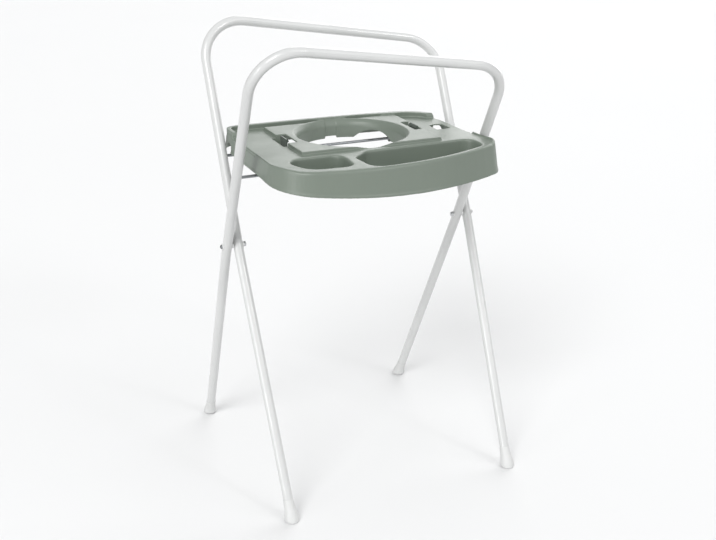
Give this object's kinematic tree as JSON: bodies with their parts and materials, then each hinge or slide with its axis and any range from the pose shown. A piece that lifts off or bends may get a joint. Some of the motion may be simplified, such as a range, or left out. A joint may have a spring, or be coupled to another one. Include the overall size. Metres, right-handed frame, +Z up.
{
  "type": "baby bath stand",
  "caption": "Folding stand for a baby bath: two crossed tube frames carry a moulded tray with compartments, a round opening and catches that hold the bath.",
  "frame": {"origin": "on the floor, at the middle of the stand's box seen from above", "axes": "+Z up, -Y to the front where the tray's compartments are, +X to the right seen from the front, along the pivots and the cross rods"},
  "size_m": [0.6008, 0.5428, 0.9642],
  "materials": {
    "painted_tube": "satin white powder coat",
    "steel": "zinc plated",
    "foot_plastic": "moulded white plastic",
    "washer_plastic": "moulded light grey plastic",
    "tray_plastic": "moulded sage green plastic",
    "catch_plastic": "moulded dark green plastic"
  },
  "bodies": {
    "front_bar_frame": {"front_bar_tube": "painted_tube", "front_rod": "steel", "foot_rear_left": "foot_plastic", "foot_rear_right": "foot_plastic", "pivot_bolt_left": "steel", "pivot_bolt_right": "steel", "pivot_nut_left": "steel", "pivot_nut_right": "steel", "pivot_spacer_left": "washer_plastic", "pivot_spacer_right": "washer_plastic", "front_saddle_washer_left": "washer_plastic", "front_saddle_washer_right": "washer_plastic"},
    "rear_bar_frame": {"rear_bar_tube": "painted_tube", "rear_rod": "steel", "foot_front_left": "foot_plastic", "foot_front_right": "foot_plastic", "rear_saddle_washer_left": "washer_plastic", "rear_saddle_washer_right": "washer_plastic"},
    "tray": {"tray": "tray_plastic"},
    "catch_left": {"bath_catch_left": "catch_plastic"},
    "catch_right": {"bath_catch_right": "catch_plastic"}
  },
  "joints": [
    {"name": "scissor", "type": "hinge", "parent": "front_bar_frame", "child": "rear_bar_frame", "pos_m": [0, 0, 0.5257], "axis": [1, 0, 0], "range_deg": [0, 40]},
    {"name": "tray_tilt", "type": "hinge", "parent": "front_bar_frame", "child": "tray", "pos_m": [0, -0.08292, 0.6957], "axis": [1, 0, 0], "range_deg": [0, 90]},
    {"name": "catch_left_flex", "type": "hinge", "parent": "tray", "child": "catch_left", "pos_m": [-0.155, 0, 0.716], "axis": [0, -1, 0], "range_deg": [0, 8], "stiffness_Nm_per_rad": 0.02, "springref_deg": -2.01},
    {"name": "catch_right_flex", "type": "hinge", "parent": "tray", "child": "catch_right", "pos_m": [0.145, 0, 0.716], "axis": [0, 1, 0], "range_deg": [0, 8], "stiffness_Nm_per_rad": 0.02, "springref_deg": -2.01}
  ],
  "couplings": [
    {"joint": "tray_tilt", "follows": "scissor", "ratio": 2.25}
  ]
}
